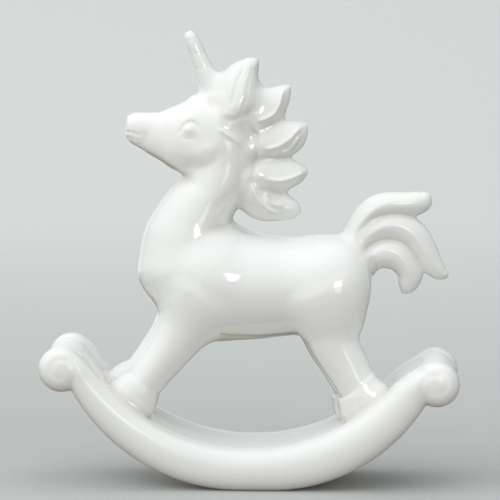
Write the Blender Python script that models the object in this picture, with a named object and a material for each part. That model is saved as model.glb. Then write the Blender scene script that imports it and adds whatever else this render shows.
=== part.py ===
"""Rocking unicorn figurine in glazed porcelain, as the cast pieces that are luted together.

Metres, +Z up. The unicorn looks towards -X, and its left side is -Y. The origin lies on the
surface that the rocker stands on, at the middle of the rocker's length and width.
"""
import math

import bmesh
import bpy
from mathutils import Vector

# Seam of slip between two luted pieces, and what is wiped off the runners so that they stand flat
SEAM = 0.0003
FOOT_WIPE = 0.0003

# Rocker: two runners, the deck between them and a scroll at each end
FRONT_ARC_RADIUS = 0.0922
REAR_ARC_RADIUS = 0.0875
FOOT_LENGTH = 0.0142
RUNNER_DEPTH = 0.0196
RUNNER_TOP_RADIUS = 0.0941
RUNNER_THICKNESS = 0.0140
RUNNER_SPACING = 0.0480
FRONT_SCROLL_ANGLE = math.radians(68.4)
REAR_SCROLL_ANGLE = math.radians(66.2)
SCROLL_RADIUS = 0.0110
SCROLL_THICKNESS = 0.0156
SCROLL_BOSS_RADIUS = 0.0042
SCROLL_RELIEF = 0.0009
DECK_RECESS = 0.0016
DECK_THICKNESS = 0.0085
DECK_LAP = 0.0014

# Body
TRUNK_RISE = 0.0957
TRUNK_LENGTH = 0.1125
TRUNK_HEIGHT = 0.0512
TRUNK_WIDTH = 0.0460
NECK_LENGTH = 0.0830
NECK_DEPTH = 0.0476
NECK_WIDTH = 0.0390
HEAD_LENGTH = 0.0466
HEAD_DEPTH = 0.0402
HEAD_WIDTH = 0.0256
EYE_RADIUS = 0.0031
EYE_RISE = 0.0011
HORN_LENGTH = 0.0310
HORN_RADIUS = 0.0062

# Legs and hooves
LEG_SPACING = 0.0222
FRONT_LEG_DEPTH = 0.0178
HIND_LEG_DEPTH = 0.0194
LEG_WIDTH = 0.0176
FRONT_LEG_BOW = 0.02
HIND_LEG_BOW = -0.065
FRONT_HOOF_INSET = 0.0301
HIND_HOOF_INSET = 0.0300
FRONT_HOOF_STEP = -0.0027
HIND_HOOF_STEP = -0.0034
FRONT_HOOF_LENGTH = 0.0256
HIND_HOOF_LENGTH = 0.0288
FRONT_HOOF_HEIGHT = 0.0134
HIND_HOOF_HEIGHT = 0.0122
HOOF_WIDTH = 0.0206
HOOF_TOE = 0.0016

# Hair: the forelock tuft, the four mane locks and the three tail locks
FORELOCK_LENGTH = 0.0310
FORELOCK_BREADTH = 0.0226
FORELOCK_WIDTH = 0.0252
MANE_LOCK_1_LENGTH = 0.0290
MANE_LOCK_2_LENGTH = 0.0330
MANE_LOCK_3_LENGTH = 0.0310
MANE_LOCK_4_LENGTH = 0.0330
MANE_LOCK_BREADTH = 0.0204
MANE_LOCK_WIDTH = 0.0158
TAIL_UPPER_LENGTH = 0.0412
TAIL_MIDDLE_LENGTH = 0.0487
TAIL_LOWER_LENGTH = 0.0275
TAIL_LOCK_BREADTH = 0.0192
TAIL_LOCK_WIDTH = 0.0136

GLAZE = (0.86, 0.87, 0.85, 1.0)
GLAZE_ROUGHNESS = 0.08
SHARP_EDGE = math.radians(50)


def clear_scene():
    for item in list(bpy.data.objects):
        bpy.data.objects.remove(item, do_unlink=True)


def make_material(name):
    material = bpy.data.materials.new(name)
    material.use_nodes = True
    shader = material.node_tree.nodes["Principled BSDF"]
    shader.inputs["Base Color"].default_value = GLAZE
    shader.inputs["Roughness"].default_value = GLAZE_ROUGHNESS
    shader.inputs["Metallic"].default_value = 0.0
    shader.inputs["Coat Weight"].default_value = 1.0
    return material


def make_object(name, mesh, cutter=False):
    piece = bpy.data.objects.new(name, mesh)
    bpy.context.collection.objects.link(piece)
    if cutter:
        piece.hide_render = True
        piece.display_type = "WIRE"
        return piece
    mesh.materials.append(make_material(name + "_glaze"))
    mesh.shade_smooth()
    mesh.set_sharp_from_angle(angle=SHARP_EDGE)
    return piece


def finish_mesh(name, bm, cutter):
    bmesh.ops.recalc_face_normals(bm, faces=bm.faces)
    mesh = bpy.data.meshes.new(name)
    bm.to_mesh(mesh)
    bm.free()
    return make_object(name, mesh, cutter)


def smooth_rows(rows, steps):
    """Points of a smooth curve through the rows, with steps spans between neighbouring rows."""
    first, last = rows[0], rows[-1]
    padded = [first] + list(rows) + [last]
    result = []
    for index in range(1, len(padded) - 2):
        before, start, end, after = padded[index - 1:index + 3]
        for step in range(steps):
            t = step / steps
            result.append(tuple(
                0.5 * (2 * b + (c - a) * t + (2 * a - 5 * b + 4 * c - d) * t * t
                       + (3 * b - a - 3 * c + d) * t ** 3)
                for a, b, c, d in zip(before, start, end, after)))
    result.append(tuple(last))
    return result


def power(value, exponent):
    return math.copysign(abs(value) ** exponent, value)


def loft(name, rings, side, sides=16, exponent=2.0, groove=0.0, grow=0.0, cutter=False):
    """Closed body through rings of (x, z, half depth in the side plane, half width across)."""
    bm = bmesh.new()
    count = len(rings)
    loops = []
    for index, (x, z, depth, width) in enumerate(rings):
        ahead = rings[min(index + 1, count - 1)]
        behind = rings[max(index - 1, 0)]
        run = Vector((ahead[0] - behind[0], 0.0, ahead[1] - behind[1])).normalized()
        lift = Vector((-run.z, 0.0, run.x))
        centre = Vector((x, side, z))
        if index in (0, count - 1):
            outward = run if index else -run
            loops.append([bm.verts.new(centre + outward * grow)])
            continue
        if index in (1, count - 2):
            centre += run * (grow if index > 1 else -grow)
        loop = []
        for corner in range(sides):
            turn = math.tau * (corner + 0.5) / sides
            rise = power(math.cos(turn), 2 / exponent)
            reach = power(math.sin(turn), 2 / exponent)
            hollow = 1 - groove * math.exp(-(rise / 0.45) ** 2)
            loop.append(bm.verts.new(
                centre + lift * (depth + grow) * rise
                + Vector((0.0, (width * hollow + grow) * reach, 0.0))))
        loops.append(loop)
    for first, second in zip(loops, loops[1:]):
        for corner in range(sides):
            following = (corner + 1) % sides
            if len(first) == 1:
                bm.faces.new((first[0], second[corner], second[following]))
            elif len(second) == 1:
                bm.faces.new((first[corner], second[0], first[following]))
            else:
                bm.faces.new((first[corner], second[corner], second[following], first[following]))
    return finish_mesh(name, bm, cutter)


def extrude_outline(name, outline, low, high, cutter=False):
    """Flat-sided body between y = low and y = high, from an outline of (x, z)."""
    bm = bmesh.new()
    face = bm.faces.new([bm.verts.new((x, low, z)) for x, z in outline])
    moved = bmesh.ops.extrude_face_region(bm, geom=[face])["geom"]
    bmesh.ops.translate(bm, vec=(0.0, high - low, 0.0),
                        verts=[item for item in moved if isinstance(item, bmesh.types.BMVert)])
    return finish_mesh(name, bm, cutter)


def box(name, low, high, cutter=True):
    outline = [(low[0], low[2]), (high[0], low[2]), (high[0], high[2]), (low[0], high[2])]
    return extrude_outline(name, outline, low[1], high[1], cutter)


def combine(piece, others, operation="DIFFERENCE"):
    """Join or cut a piece; a chain of cuts at one joint leaves slivers that EXACT would lose."""
    for other in others:
        modifier = piece.modifiers.new(other.name, "BOOLEAN")
        modifier.operation = operation
        modifier.object = other
        modifier.solver = "MANIFOLD" if len(others) > 2 else "EXACT"


def place_rows(origin, size, rows, steps=2):
    """Rings at an origin, from rows in shares of a piece's (length, rise, depth, width)."""
    length, rise, depth, width = size
    placed = [(origin[0] + length * u, origin[1] + rise * w, depth * a, width * b)
              for u, w, a, b in rows]
    return smooth_rows(placed, steps)


def trunk_point(along, up):
    return (TRUNK_LENGTH * along, TRUNK_RISE + TRUNK_HEIGHT * up)


# Rocker geometry in the side plane, which the runners, the deck and the hooves share

FRONT_REACH = FRONT_ARC_RADIUS * math.sin(FRONT_SCROLL_ANGLE)
REAR_REACH = REAR_ARC_RADIUS * math.sin(REAR_SCROLL_ANGLE)
FOOT_MIDDLE = 0.5 * (FRONT_REACH - REAR_REACH)
TOP_CENTRE_Z = RUNNER_DEPTH - FOOT_WIPE + RUNNER_TOP_RADIUS
RUNNER_SIDE = 0.5 * RUNNER_SPACING
LEG_SIDE = 0.5 * LEG_SPACING


def arc_point(end, angle):
    """Point on the rocker's underside and its inward normal; end is -1 in front, 1 behind."""
    radius = FRONT_ARC_RADIUS if end < 0 else REAR_ARC_RADIUS
    x = FOOT_MIDDLE + end * (0.5 * FOOT_LENGTH + radius * math.sin(angle))
    z = radius * (1 - math.cos(angle)) - FOOT_WIPE
    return (x, z), (-end * math.sin(angle), math.cos(angle))


def scroll_centre(end):
    return arc_point(end, FRONT_SCROLL_ANGLE if end < 0 else REAR_SCROLL_ANGLE)[0]


def crease_angle(end):
    """Angle at which the underside runs into the scroll."""
    radius = FRONT_ARC_RADIUS if end < 0 else REAR_ARC_RADIUS
    angle = FRONT_SCROLL_ANGLE if end < 0 else REAR_SCROLL_ANGLE
    return angle - 2 * math.asin(0.5 * SCROLL_RADIUS / radius)


def runner_depth(point, normal):
    """Distance from the underside to the runner's top edge, along the normal."""
    x, z = point[0], point[1] - TOP_CENTRE_Z
    along = x * normal[0] + z * normal[1]
    return -along - math.sqrt(along ** 2 - x ** 2 - z ** 2 + RUNNER_TOP_RADIUS ** 2)


def rocker_stations(count):
    """(point, normal, depth) along the rocker's underside, front to rear, between the creases."""
    stations = []
    for end in (-1, 1):
        crease = crease_angle(end)
        angles = [crease * step / count for step in range(count + 1)]
        if end < 0:
            angles.reverse()
        for angle in angles:
            point, normal = arc_point(end, angle)
            stations.append((point, normal, runner_depth(point, normal)))
    return stations


def towards_top_centre(point):
    run = Vector((-point[0], TOP_CENTRE_Z - point[1])).normalized()
    return run.x, run.y


def deck_seat(x):
    """Point on the deck's upper face at x, and the direction square to it."""
    radius = RUNNER_TOP_RADIUS + DECK_RECESS
    point = (x, TOP_CENTRE_Z - math.sqrt(radius ** 2 - x ** 2))
    return point, towards_top_centre(point)


def runner_end(end):
    """Last ring of a runner, which covers the scroll's inner half, and the tip beyond it."""
    centre = scroll_centre(end)
    inward = towards_top_centre(centre)
    reach = 0.5 * SCROLL_RADIUS
    ring = (centre[0] + reach * inward[0], centre[1] + reach * inward[1], reach,
            0.5 * RUNNER_THICKNESS)
    tip = (ring[0] + 0.5 * reach * end * inward[1], ring[1] - 0.5 * reach * end * inward[0],
           0.0, 0.0)
    return ring, tip


def runner_rings():
    front_ring, front_tip = runner_end(-1)
    rear_ring, rear_tip = runner_end(1)
    between = [(point[0] + 0.5 * depth * normal[0], point[1] + 0.5 * depth * normal[1],
                0.5 * depth, 0.5 * RUNNER_THICKNESS)
               for point, normal, depth in rocker_stations(9)]
    return [front_tip, front_ring] + between + [rear_ring, rear_tip]


def make_runner(name, side, grow=0.0, cutter=False):
    return loft(name, runner_rings(), side, sides=16, exponent=2.9, grow=grow, cutter=cutter)


def make_scroll(name, end, side, grow=0.0, cutter=False):
    """Volute turned about a line across the rocker, with a raised boss inside a ring groove."""
    half = 0.5 * SCROLL_THICKNESS + grow
    rim = SCROLL_RADIUS + grow
    shoulder = 0.5 * (SCROLL_BOSS_RADIUS + SCROLL_RADIUS)
    profile = [(0.0, half), (0.6 * SCROLL_BOSS_RADIUS, half - 0.2 * SCROLL_RELIEF),
               (SCROLL_BOSS_RADIUS, half - SCROLL_RELIEF),
               (1.2 * SCROLL_BOSS_RADIUS, half - 1.3 * SCROLL_RELIEF),
               (shoulder, half - 0.7 * SCROLL_RELIEF),
               (0.86 * rim, 0.66 * half), (0.97 * rim, 0.34 * half), (rim, 0.0)]
    profile += [(radius, -height) for radius, height in reversed(profile[:-1])]
    centre = scroll_centre(end)
    bm = bmesh.new()
    chain = [bm.verts.new((centre[0] + radius, side + height, centre[1]))
             for radius, height in profile]
    edges = [bm.edges.new(pair) for pair in zip(chain, chain[1:])]
    bmesh.ops.spin(bm, geom=chain + edges, cent=(centre[0], side, centre[1]), axis=(0, 1, 0),
                   angle=math.tau, steps=24, use_merge=True)
    bmesh.ops.remove_doubles(bm, verts=bm.verts, dist=0.00001)
    return finish_mesh(name, bm, cutter)


def deck_outline(recess_change=0.0):
    """Band between the runners, which rolls over with the scrolls at both ends."""
    stations = rocker_stations(8)
    high = DECK_RECESS + recess_change
    low = DECK_RECESS + DECK_THICKNESS
    upper = [(p[0] + n[0] * (d - high), p[1] + n[1] * (d - high)) for p, n, d in stations]
    lower = [(p[0] + n[0] * (d - low), p[1] + n[1] * (d - low)) for p, n, d in stations]
    roll = SCROLL_RADIUS - high
    outline = list(upper)
    for end, edge in ((1, lower[-1]), (-1, lower[0])):
        centre = scroll_centre(end)
        inward = towards_top_centre(centre)
        top = math.atan2(inward[1], inward[0])
        bottom = math.atan2(edge[1] - centre[1], edge[0] - centre[0])
        start, stop = (top, bottom) if end > 0 else (bottom, top)
        if start < stop:
            start += math.tau
        arc = [(centre[0] + roll * math.cos(start + (stop - start) * step / 12),
                centre[1] + roll * math.sin(start + (stop - start) * step / 12))
               for step in range(13)]
        outline += arc
        if end > 0:
            outline += reversed(lower)
    return outline


# Body

NECK_BASE = trunk_point(-0.24, 0.07)
POLL = (NECK_BASE[0] + 0.273 * NECK_DEPTH, NECK_BASE[1] + 0.948 * NECK_LENGTH)
CROWN = (POLL[0] - 0.086 * HEAD_LENGTH, POLL[1] + 0.296 * HEAD_DEPTH)
EYE = (POLL[0] - 0.318 * HEAD_LENGTH, POLL[1] - 0.142 * HEAD_DEPTH)
DOCK = trunk_point(0.406, 0.30)
FRONT_HIP = trunk_point(-0.213, -0.14)
HIND_HIP = trunk_point(0.32, -0.07)


def make_trunk(name, grow=0.0, cutter=False):
    rows = [
        (-0.462, 0.186, 0.0, 0.0),
        (-0.446, 0.172, 0.127, 0.185),
        (-0.413, 0.152, 0.215, 0.272),
        (-0.369, 0.123, 0.27, 0.348),
        (-0.311, 0.08, 0.344, 0.422),
        (-0.231, 0.029, 0.438, 0.478),
        (-0.124, -0.002, 0.496, 0.50),
        (0.0, -0.002, 0.506, 0.50),
        (0.124, -0.002, 0.473, 0.483),
        (0.231, 0.016, 0.461, 0.474),
        (0.338, 0.045, 0.457, 0.474),
        (0.409, 0.084, 0.414, 0.43),
        (0.455, 0.092, 0.34, 0.361),
        (0.488, 0.08, 0.234, 0.259),
        (0.508, 0.072, 0.121, 0.143),
        (0.516, 0.072, 0.0, 0.0),
    ]
    size = (TRUNK_LENGTH, TRUNK_HEIGHT, TRUNK_HEIGHT, TRUNK_WIDTH)
    return loft(name, place_rows((0.0, TRUNK_RISE), size, rows, 1), 0.0, sides=24, grow=grow,
                cutter=cutter)


def make_neck(name, grow=0.0, cutter=False):
    rows = [
        (0.105, -0.16, 0.0, 0.0),
        (0.042, -0.076, 0.326, 0.359),
        (-0.038, 0.057, 0.492, 0.492),
        (-0.076, 0.153, 0.481, 0.487),
        (-0.059, 0.255, 0.454, 0.459),
        (-0.013, 0.346, 0.391, 0.423),
        (0.071, 0.428, 0.355, 0.392),
        (0.164, 0.502, 0.307, 0.367),
        (0.231, 0.581, 0.313, 0.351),
        (0.277, 0.665, 0.311, 0.336),
        (0.303, 0.786, 0.303, 0.318),
        (0.290, 0.912, 0.261, 0.287),
        (0.273, 1.0, 0.168, 0.205),
        (0.267, 1.051, 0.0, 0.0),
    ]
    size = (NECK_DEPTH, NECK_LENGTH, NECK_DEPTH, NECK_WIDTH)
    return loft(name, place_rows(NECK_BASE, size, rows, 1), 0.0, sides=20, grow=grow,
                cutter=cutter)


def make_head(name, grow=0.0, cutter=False):
    rows = [
        (-1.0, -0.139, 0.0, 0.0),
        (-0.987, -0.142, 0.114, 0.164),
        (-0.953, -0.142, 0.169, 0.238),
        (-0.884, -0.149, 0.197, 0.258),
        (-0.773, -0.179, 0.231, 0.27),
        (-0.665, -0.211, 0.279, 0.309),
        (-0.558, -0.229, 0.343, 0.367),
        (-0.451, -0.244, 0.408, 0.43),
        (-0.343, -0.246, 0.448, 0.477),
        (-0.236, -0.229, 0.48, 0.5),
        (-0.129, -0.192, 0.473, 0.5),
        (-0.021, -0.144, 0.405, 0.461),
        (0.075, -0.087, 0.286, 0.359),
        (0.139, -0.062, 0.139, 0.211),
        (0.163, -0.055, 0.0, 0.0),
    ]
    size = (HEAD_LENGTH, HEAD_DEPTH, HEAD_DEPTH, HEAD_WIDTH)
    return loft(name, place_rows(POLL, size, rows, 1), 0.0, sides=20, grow=grow, cutter=cutter)


def make_eye(name, side):
    """Domed boss that a Boolean joins to the head."""
    bm = bmesh.new()
    bmesh.ops.create_uvsphere(bm, u_segments=14, v_segments=9, radius=EYE_RADIUS)
    cheek = 0.472 * HEAD_WIDTH
    across = side * (cheek + EYE_RISE - EYE_RADIUS)
    bmesh.ops.translate(bm, vec=(EYE[0], across, EYE[1]), verts=bm.verts)
    return finish_mesh(name, bm, True)


def make_horn(name, grow=0.0, cutter=False):
    rows = [
        (0.04, -0.14, 0.0, 0.0),
        (0.013, -0.071, 1.0, 0.935),
        (-0.013, 0.029, 1.0, 0.903),
        (-0.123, 0.281, 0.742, 0.71),
        (-0.223, 0.519, 0.613, 0.597),
        (-0.332, 0.787, 0.565, 0.548),
        (-0.374, 0.881, 0.468, 0.468),
        (-0.394, 0.929, 0.306, 0.306),
        (-0.40, 0.942, 0.0, 0.0),
    ]
    size = (HORN_LENGTH, HORN_LENGTH, HORN_RADIUS, HORN_RADIUS)
    return loft(name, place_rows(CROWN, size, rows, 1), 0.0, sides=14, grow=grow, cutter=cutter)


def hoof_seat(hind, side):
    """Place on the deck under a hoof, set in from the scroll; the far ones are a step on."""
    if hind:
        x = scroll_centre(1)[0] - HIND_HOOF_INSET
        step = HIND_HOOF_STEP
    else:
        x = scroll_centre(-1)[0] + FRONT_HOOF_INSET
        step = FRONT_HOOF_STEP
    return deck_seat(x + step if side > 0 else x)


def leg_rings(hip, rim, depth, bow):
    """Rings down a leg, from inside the trunk to below the hoof's rim."""
    across = (hip[1] - rim[1], rim[0] - hip[0])
    rows = [(-0.16, 0.0, 0.0, 0.0), (-0.08, 0.0, 0.70, 0.50), (0.0, 0.0, 0.89, 0.60),
            (0.25, 0.45 * bow, 0.77, 0.58), (0.50, bow, 0.62, 0.53),
            (0.77, 0.45 * bow, 0.54, 0.505), (1.0, 0.0, 0.50, 0.50), (1.10, 0.0, 0.48, 0.48),
            (1.16, 0.0, 0.0, 0.0)]
    rings = [(hip[0] + (rim[0] - hip[0]) * s + across[0] * offset,
              hip[1] + (rim[1] - hip[1]) * s + across[1] * offset,
              depth * a, LEG_WIDTH * b) for s, offset, a, b in rows]
    return smooth_rows(rings, 1)


def make_leg(name, hind, side):
    """Leg between its hip in the trunk and its hoof; the far ones stand a step further on."""
    hip = HIND_HIP if hind else FRONT_HIP
    step = hoof_seat(hind, side)[0][0] - hoof_seat(hind, -1)[0][0]
    seat, normal = hoof_seat(hind, side)
    height = HIND_HOOF_HEIGHT if hind else FRONT_HOOF_HEIGHT
    rim = (seat[0] + height * normal[0], seat[1] + height * normal[1])
    depth = HIND_LEG_DEPTH if hind else FRONT_LEG_DEPTH
    bow = HIND_LEG_BOW if hind else FRONT_LEG_BOW
    rings = leg_rings((hip[0] + step, hip[1]), rim, depth, bow)
    return loft(name, rings, side * LEG_SIDE, sides=16)


def make_hoof(name, hind, side, grow=0.0, cutter=False):
    """Flared cuff that stands square on the deck, its toe towards the front."""
    seat, normal = hoof_seat(hind, side)
    height = HIND_HOOF_HEIGHT if hind else FRONT_HOOF_HEIGHT
    length = HIND_HOOF_LENGTH if hind else FRONT_HOOF_LENGTH
    toe = HOOF_TOE if hind else 0.0
    rows = [(-0.22, 1.0, 0.0, 0.0), (-0.20, 1.0, 0.49, 0.49), (0.30, 1.0, 0.49, 0.49),
            (0.62, 0.6, 0.455, 0.475), (0.84, 0.2, 0.41, 0.45), (0.95, 0.0, 0.375, 0.43),
            (1.0, 0.0, 0.33, 0.38), (1.02, 0.0, 0.0, 0.0)]
    rings = [(seat[0] + normal[0] * height * s - normal[1] * toe * forward,
              seat[1] + normal[1] * height * s + normal[0] * toe * forward,
              length * a, HOOF_WIDTH * b) for s, forward, a, b in rows]
    return loft(name, rings, side * LEG_SIDE, sides=16, exponent=2.3, grow=grow, cutter=cutter)


# Hair

def make_forelock(name, grow=0.0, cutter=False):
    rows = [
        (0.045, -0.09, 0.0, 0.0),
        (0.065, -0.006, 0.265, 0.429),
        (0.129, 0.116, 0.425, 0.5),
        (0.184, 0.29, 0.5, 0.492),
        (0.223, 0.494, 0.46, 0.429),
        (0.29, 0.655, 0.376, 0.333),
        (0.368, 0.768, 0.243, 0.23),
        (0.445, 0.848, 0.137, 0.143),
        (0.51, 0.906, 0.0, 0.0),
    ]
    origin = (POLL[0] + 0.05 * HEAD_LENGTH, POLL[1])
    size = (FORELOCK_LENGTH, FORELOCK_LENGTH, FORELOCK_BREADTH, FORELOCK_WIDTH)
    return loft(name, place_rows(origin, size, rows, 1), 0.0, sides=18, grow=grow, cutter=cutter)


def mane_lock_shape(index):
    """Root on the crest of the neck, length and rows of one lock, counted from the poll."""
    shapes = [
        ((0.567, 0.912), MANE_LOCK_1_LENGTH, [
            (-0.138, -0.155, 0.0, 0.0), (-0.083, -0.103, 0.265, 0.443),
            (0.103, 0.069, 0.451, 0.468), (0.338, 0.31, 0.412, 0.386),
            (0.483, 0.448, 0.284, 0.272), (0.597, 0.566, 0.132, 0.152), (0.669, 0.631, 0.0, 0.0)]),
        ((0.567, 0.780), MANE_LOCK_2_LENGTH, [
            (-0.182, -0.106, 0.0, 0.0), (-0.121, -0.082, 0.275, 0.468),
            (0.121, 0.012, 0.48, 0.494), (0.364, 0.091, 0.5, 0.418), (0.57, 0.145, 0.426, 0.329),
            (0.715, 0.236, 0.265, 0.215), (0.824, 0.339, 0.0, 0.0)]),
        ((0.567, 0.611), MANE_LOCK_3_LENGTH, [
            (-0.226, -0.032, 0.0, 0.0), (-0.161, -0.026, 0.284, 0.481),
            (0.097, -0.003, 0.461, 0.5), (0.387, 0.0, 0.461, 0.418), (0.629, 0.026, 0.343, 0.316),
            (0.8, 0.048, 0.191, 0.184), (0.906, 0.074, 0.0, 0.0)]),
        ((0.567, 0.502), MANE_LOCK_4_LENGTH, [
            (-0.212, 0.242, 0.0, 0.0), (-0.17, 0.182, 0.265, 0.468), (-0.024, 0.012, 0.422, 0.481),
            (0.164, -0.121, 0.451, 0.43), (0.373, -0.182, 0.382, 0.342),
            (0.561, -0.224, 0.275, 0.259), (0.676, -0.252, 0.172, 0.171),
            (0.748, -0.273, 0.0, 0.0)]),
    ]
    return shapes[index]


def make_mane_lock(name, index, grow=0.0, cutter=False):
    """Leaf with a hollow down its middle."""
    (across, up), length, rows = mane_lock_shape(index)
    origin = (NECK_BASE[0] + NECK_DEPTH * across, NECK_BASE[1] + NECK_LENGTH * up)
    size = (length, length, MANE_LOCK_BREADTH, MANE_LOCK_WIDTH)
    return loft(name, place_rows(origin, size, rows, 2), 0.0, sides=16, groove=0.35, grow=grow,
                cutter=cutter)


def tail_lock_shape(lock):
    """Root behind the dock, length and rows of one lock."""
    shapes = {
        "upper": ((0.0, 0.135), TAIL_UPPER_LENGTH, [
            (-0.053, -0.194, 0.0, 0.0), (-0.005, -0.117, 0.208, 0.338),
            (0.107, 0.075, 0.276, 0.471), (0.209, 0.262, 0.286, 0.485),
            (0.34, 0.398, 0.286, 0.478), (0.495, 0.449, 0.271, 0.456),
            (0.663, 0.451, 0.281, 0.426), (0.811, 0.456, 0.312, 0.368),
            (0.908, 0.483, 0.25, 0.279), (0.964, 0.524, 0.161, 0.184), (1.0, 0.556, 0.0, 0.0)]),
        "middle": ((0.0, -0.10), TAIL_MIDDLE_LENGTH, [
            (-0.076, -0.123, 0.0, 0.0), (-0.035, -0.062, 0.24, 0.353),
            (0.103, 0.166, 0.328, 0.485), (0.236, 0.343, 0.375, 0.515), (0.396, 0.419, 0.406, 0.5),
            (0.546, 0.396, 0.406, 0.471), (0.676, 0.302, 0.38, 0.426),
            (0.774, 0.164, 0.339, 0.375), (0.854, 0.029, 0.281, 0.316),
            (0.93, -0.055, 0.188, 0.221), (1.025, -0.103, 0.0, 0.0)]),
        "lower": ((0.038, -0.14), TAIL_LOWER_LENGTH, [
            (-0.255, -0.218, 0.0, 0.0), (-0.145, -0.109, 0.271, 0.368),
            (0.131, 0.149, 0.401, 0.485), (0.415, 0.327, 0.479, 0.5), (0.687, 0.324, 0.5, 0.471),
            (0.898, 0.153, 0.427, 0.426), (0.967, -0.058, 0.349, 0.368),
            (0.949, -0.218, 0.281, 0.301), (0.902, -0.331, 0.193, 0.221),
            (0.829, -0.429, 0.0, 0.0)]),
    }
    return shapes[lock]


def make_tail_lock(name, lock, grow=0.0, cutter=False):
    (behind, up), length, rows = tail_lock_shape(lock)
    origin = (DOCK[0] + TRUNK_LENGTH * behind, DOCK[1] + TRUNK_HEIGHT * up)
    size = (length, length, TAIL_LOCK_BREADTH, TAIL_LOCK_WIDTH)
    return loft(name, place_rows(origin, size, rows, 1), 0.0, sides=16, grow=grow, cutter=cutter)


def grown(maker, name, *options):
    """Copy of a piece that is a seam larger all round, which cuts the pieces luted to it."""
    return maker(name + "_seat", *options, grow=SEAM, cutter=True)


def build_rocker():
    below = box("ground_wipe", (-FRONT_REACH, -RUNNER_SPACING, -RUNNER_DEPTH),
                (REAR_REACH, RUNNER_SPACING, 0.0))
    seats = []
    for word, side in (("left", -RUNNER_SIDE), ("right", RUNNER_SIDE)):
        ends = []
        for place, end in (("front", -1), ("rear", 1)):
            name = f"scroll_{place}_{word}"
            make_scroll(name, end, side)
            ends.append(grown(make_scroll, name, end, side))
        runner = make_runner(f"runner_{word}", side)
        combine(runner, ends + [below])
        seats += ends + [grown(make_runner, f"runner_{word}", side)]
    reach = RUNNER_SIDE - 0.5 * RUNNER_THICKNESS + DECK_LAP
    deck = extrude_outline("deck", deck_outline(), -reach, reach)
    combine(deck, seats)
    return seats, extrude_outline("deck_seat", deck_outline(-SEAM), -reach, reach, True)


def build_body():
    make_trunk("trunk")
    trunk_seat = grown(make_trunk, "trunk")
    neck = make_neck("neck")
    combine(neck, [trunk_seat])
    neck_seat = grown(make_neck, "neck")
    head = make_head("head")
    combine(head, [make_eye(f"eye_{side:+d}", side) for side in (-1, 1)], "UNION")
    combine(head, [neck_seat])
    head_seat = grown(make_head, "head")
    horn = make_horn("horn")
    combine(horn, [head_seat])
    return trunk_seat, neck_seat, head_seat, grown(make_horn, "horn")


def build_hair(trunk_seat, neck_seat, head_seat, horn_seat):
    forelock = make_forelock("forelock")
    combine(forelock, [neck_seat, head_seat, horn_seat])
    seats = [neck_seat, head_seat, grown(make_forelock, "forelock")]
    for index in range(4):
        name = f"mane_lock_{index + 1}"
        combine(make_mane_lock(name, index), seats)
        seats.append(grown(make_mane_lock, name, index))
    seats = [trunk_seat]
    for lock in ("middle", "upper", "lower"):
        name = f"tail_lock_{lock}"
        combine(make_tail_lock(name, lock), seats)
        seats.append(grown(make_tail_lock, name, lock))


def build_legs(trunk_seat, neck_seat, rocker_seats, deck_body):
    middle = box("leg_parting", (-TRUNK_LENGTH, -0.5 * SEAM, 0.0),
                 (TRUNK_LENGTH, 0.5 * SEAM, TRUNK_RISE + TRUNK_HEIGHT))
    for place, hind in (("front", False), ("hind", True)):
        for word, side in (("left", -1), ("right", 1)):
            name = f"{place}_hoof_{word}"
            combine(make_hoof(name, hind, side), rocker_seats + [deck_body, middle])
            hoof_cut = grown(make_hoof, name, hind, side)
            leg = make_leg(f"{place}_leg_{word}", hind, side)
            combine(leg, [trunk_seat, neck_seat, hoof_cut, middle])


def build():
    clear_scene()
    rocker_seats, deck_body = build_rocker()
    trunk_seat, neck_seat, head_seat, horn_seat = build_body()
    build_hair(trunk_seat, neck_seat, head_seat, horn_seat)
    build_legs(trunk_seat, neck_seat, rocker_seats, deck_body)


build()
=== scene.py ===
import math

import bmesh
import bpy
import numpy as np
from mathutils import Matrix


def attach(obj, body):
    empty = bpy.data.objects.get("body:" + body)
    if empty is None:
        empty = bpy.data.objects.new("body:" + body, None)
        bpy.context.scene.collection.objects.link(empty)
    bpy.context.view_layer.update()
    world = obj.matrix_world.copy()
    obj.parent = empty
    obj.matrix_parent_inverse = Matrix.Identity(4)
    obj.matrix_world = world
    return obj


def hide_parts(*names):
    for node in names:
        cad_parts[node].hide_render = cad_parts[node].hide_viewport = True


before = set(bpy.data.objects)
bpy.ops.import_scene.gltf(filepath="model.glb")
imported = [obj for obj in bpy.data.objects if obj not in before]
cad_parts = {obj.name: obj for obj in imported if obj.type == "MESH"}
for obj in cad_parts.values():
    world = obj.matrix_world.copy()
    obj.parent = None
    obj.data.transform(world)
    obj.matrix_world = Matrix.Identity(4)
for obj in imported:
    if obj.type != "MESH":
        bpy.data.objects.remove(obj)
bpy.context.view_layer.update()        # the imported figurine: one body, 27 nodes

import openvdb
from mathutils import Vector

mm = 0.001               # shapes are worked out in millimetres and turned to metres at the end

print("stage 1: grid for the glazed skin")

# The porcelain is one glazed skin over pieces that were stuck together as wet clay. Every piece is
# turned into a distance field, the fields are melted together, and each piece is cut out again.
glaze = {
    "voxel": 0.5,         # grid step in mm
    "quickVoxel": 0.9,    # coarser step while trying things out
    "low": (-106.0, -36.0, -5.0),
    "high": (106.0, 36.0, 224.0),
    "band": 9.0,          # distances further than this are cut off
    "soften": 0.65,       # blur of the finished skin, in voxels
    "margin": 0.02,       # how far it stays off the table and inside the scrolls' outer faces
    "overlap": 1.6,       # how far a piece runs on under its neighbour
    "sink": 0.02,         # how deep it lies there
    "sinkRun": 3.0,       # over what length it gets that deep
    "poolReach": 2.2,     # glaze pools in hollows of about this size
    "poolGain": 2.2,      # how much of it shows there
    "plain": ("trunk", "deck"),     # large plain pieces, cut out of a coarser grid
    "plainStep": 1.2,     # that grid's step, in voxels
}
voxel = glaze["voxel"]
band = glaze["band"]
gridLow = np.array(glaze["low"])
gridCount = tuple(np.ceil((np.array(glaze["high"]) - gridLow) / voxel).astype(int))


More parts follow.
